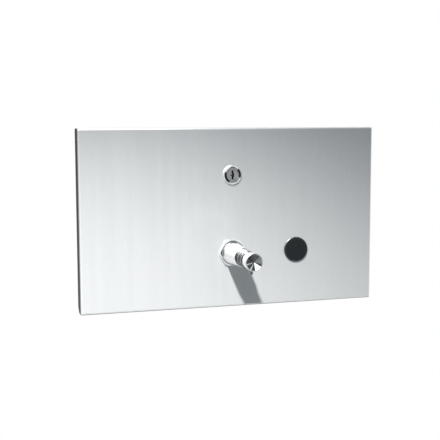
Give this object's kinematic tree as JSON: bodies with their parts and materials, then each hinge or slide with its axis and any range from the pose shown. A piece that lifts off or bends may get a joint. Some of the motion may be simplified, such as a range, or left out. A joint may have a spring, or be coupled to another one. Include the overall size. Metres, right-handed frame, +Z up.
{
  "type": "recessed soap dispenser",
  "caption": "Recessed wall soap dispenser: a brushed steel door tilts out on a bottom hinge and carries the soap tank, push-in spout, sight window and key lock.",
  "frame": {"origin": "on the wall surface, at the middle of the four wall screw holes, which is the middle of the door", "axes": "+X to the right as seen from the room, +Y into the wall, +Z up; the spout points along -Y"},
  "size_m": [0.292, 0.176, 0.1714],
  "materials": {
    "door_steel": "vertically brushed satin stainless steel",
    "box_steel": "mill-finish sheet steel",
    "hinge_steel": "rolled stainless steel",
    "valve_chrome": "polished chrome",
    "cap_chrome": "turned and polished chrome",
    "lock_chrome": "polished chrome",
    "lock_nickel": "die-cast, nickel plated",
    "zinc": "zinc plated steel",
    "brass": "machined brass",
    "window_black": "glossy smoked plastic",
    "tank_plastic": "natural translucent moulded plastic",
    "pump_plastic": "white acetal",
    "rubber": "moulded rubber",
    "seal_rubber": "red-brown silicone",
    "spring_steel": "drawn spring wire"
  },
  "bodies": {
    "wall_box": {"recess_box": "box_steel", "box_hinge_leaf": "hinge_steel", "hinge_pin": "hinge_steel", "hinge_rivets": "zinc", "strike_plate": "zinc", "strike_rivets": "zinc", "stay_pins": "zinc", "door_bumpers": "rubber"},
    "lock_barrel": {"lock_plug": "lock_nickel", "lock_cam": "zinc", "cam_screw": "zinc"},
    "spout": {"spout_plunger": "valve_chrome", "push_cap": "cap_chrome", "outlet_nozzle": "valve_chrome", "plunger_stem": "hinge_steel", "piston": "pump_plastic", "piston_seal": "rubber"},
    "lid": {"filler_lid": "pump_plastic"},
    "door": {"door_panel": "door_steel", "door_hinge_leaf": "hinge_steel", "tank_cradle": "box_steel", "stay_plate_left": "zinc", "stay_plate_right": "zinc", "door_studs": "zinc", "stud_nuts": "zinc", "tank": "tank_plastic", "cover_gasket": "rubber", "tank_cover": "pump_plastic", "cover_screws": "zinc", "lid_pin": "zinc", "valve_body": "valve_chrome", "valve_gasket": "rubber", "window_gasket": "rubber", "valve_washer": "pump_plastic", "valve_nut": "brass", "window_washer": "pump_plastic", "window_nut": "brass", "pump_cylinder": "pump_plastic", "cylinder_cap": "pump_plastic", "inlet_flap": "seal_rubber", "inlet_strainer": "pump_plastic", "return_spring": "spring_steel", "sight_window": "window_black", "lock_housing": "lock_chrome", "lock_nut": "brass"}
  },
  "joints": [
    {"name": "door_tilt", "type": "hinge", "parent": "wall_box", "child": "door", "pos_m": [0, -0.0035, -0.08325], "axis": [1, 0, 0], "range_deg": [0, 40]},
    {"name": "lock_turn", "type": "hinge", "parent": "door", "child": "lock_barrel", "pos_m": [0, 0, 0.041], "axis": [0, -1, 0], "range_deg": [0, 90]},
    {"name": "spout_push", "type": "slide", "parent": "door", "child": "spout", "axis": [0, 1, 0], "range_m": [0, 0.01], "stiffness_N_per_m": 600, "springref_m": -0.01, "deforming": ["return_spring"]},
    {"name": "lid_swing", "type": "hinge", "parent": "door", "child": "lid", "pos_m": [0, 0.0545, 0.022], "axis": [-1, 0, 0], "range_deg": [0, 95]}
  ]
}
